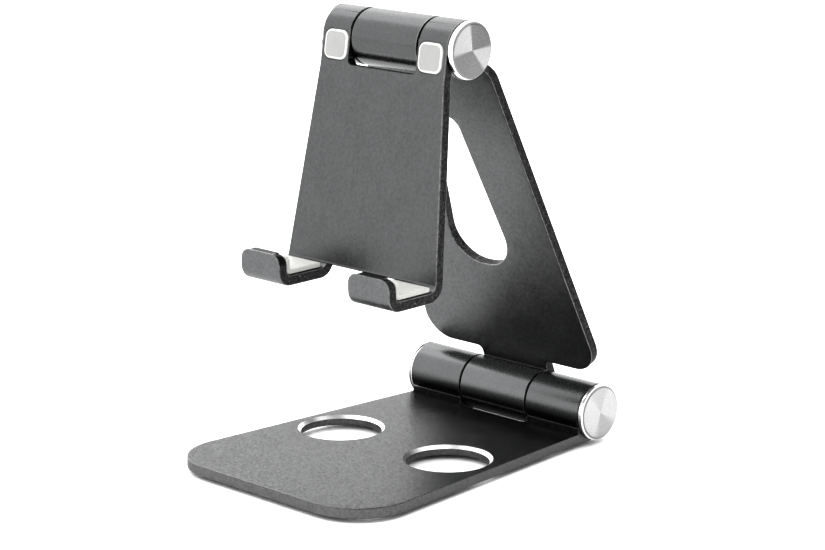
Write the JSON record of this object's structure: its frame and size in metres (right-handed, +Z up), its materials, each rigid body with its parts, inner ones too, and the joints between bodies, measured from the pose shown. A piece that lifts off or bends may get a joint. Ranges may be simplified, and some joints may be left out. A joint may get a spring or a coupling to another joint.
{
  "type": "phone stand",
  "caption": "Folding desk stand for a phone: flat base, leaning arm and a hooked holder plate, joined by two wide friction hinges.",
  "frame": {"origin": "middle of the bounding box's bottom face, in the plane of the feet", "axes": "+X to the object's right along both hinge axes, -Y to its front where the hooks are, +Z up"},
  "size_m": [0.0758, 0.108, 0.124],
  "materials": {
    "anodised": "fine blasted, dark grey anodised, satin",
    "spun_cap": "turned face with fine rings, bright bevelled rim",
    "foot_silicone": "pale translucent silicone, matt",
    "pad_silicone": "off-white silicone, matt",
    "steel": "zinc plated",
    "spring_steel": "oiled spring steel",
    "bush_nylon": "natural nylon",
    "friction_disc": "black friction plastic"
  },
  "bodies": {
    "base": {"base_plate": "anodised", "foot_pad_front_left": "foot_silicone", "foot_pad_front_right": "foot_silicone", "foot_pad_rear_left": "foot_silicone", "foot_pad_rear_right": "foot_silicone", "lower_cap_left": "spun_cap", "lower_cap_right": "spun_cap"},
    "lower_spindle": {"lower_pivot_bolt": "steel", "lower_lock_nut": "steel", "lower_washer_left": "steel", "lower_washer_right": "steel", "lower_disc_spring_1": "spring_steel", "lower_disc_spring_2": "spring_steel", "lower_disc_spring_3": "spring_steel", "lower_friction_washer_left": "friction_disc", "lower_friction_washer_right": "friction_disc"},
    "arm": {"arm_plate": "anodised", "lower_bush_left": "bush_nylon", "lower_bush_right": "bush_nylon", "upper_bush_left": "bush_nylon", "upper_bush_right": "bush_nylon"},
    "upper_spindle": {"upper_pivot_bolt": "steel", "upper_lock_nut": "steel", "upper_washer_left": "steel", "upper_washer_right": "steel", "upper_disc_spring_1": "spring_steel", "upper_disc_spring_2": "spring_steel", "upper_friction_washer_left": "friction_disc", "upper_friction_washer_right": "friction_disc"},
    "holder": {"holder_plate": "anodised", "hook_pad_left": "pad_silicone", "hook_pad_right": "pad_silicone", "upper_pad_left": "pad_silicone", "upper_pad_right": "pad_silicone", "upper_cap_left": "spun_cap", "upper_cap_right": "spun_cap"}
  },
  "joints": [
    {"name": "lower_hinge", "type": "hinge", "parent": "base", "child": "lower_spindle", "pos_m": [0, 0.046, 0.0094], "axis": [1, 0, 0], "range_deg": [-112, 30]},
    {"name": "fold", "type": "hinge", "parent": "lower_spindle", "child": "arm", "pos_m": [0, 0.046, 0.0094], "axis": [1, 0, 0], "range_deg": [0, 36]},
    {"name": "fold_holder", "type": "hinge", "parent": "arm", "child": "upper_spindle", "pos_m": [0, 0.0018, 0.11611], "axis": [1, 0, 0], "range_deg": [0, 35.5]},
    {"name": "holder_tilt", "type": "hinge", "parent": "upper_spindle", "child": "holder", "pos_m": [0, 0.0018, 0.11611], "axis": [1, 0, 0], "range_deg": [-170, 0]}
  ],
  "couplings": [
    {"joint": "fold_holder", "follows": "fold", "ratio": 0.9722}
  ]
}
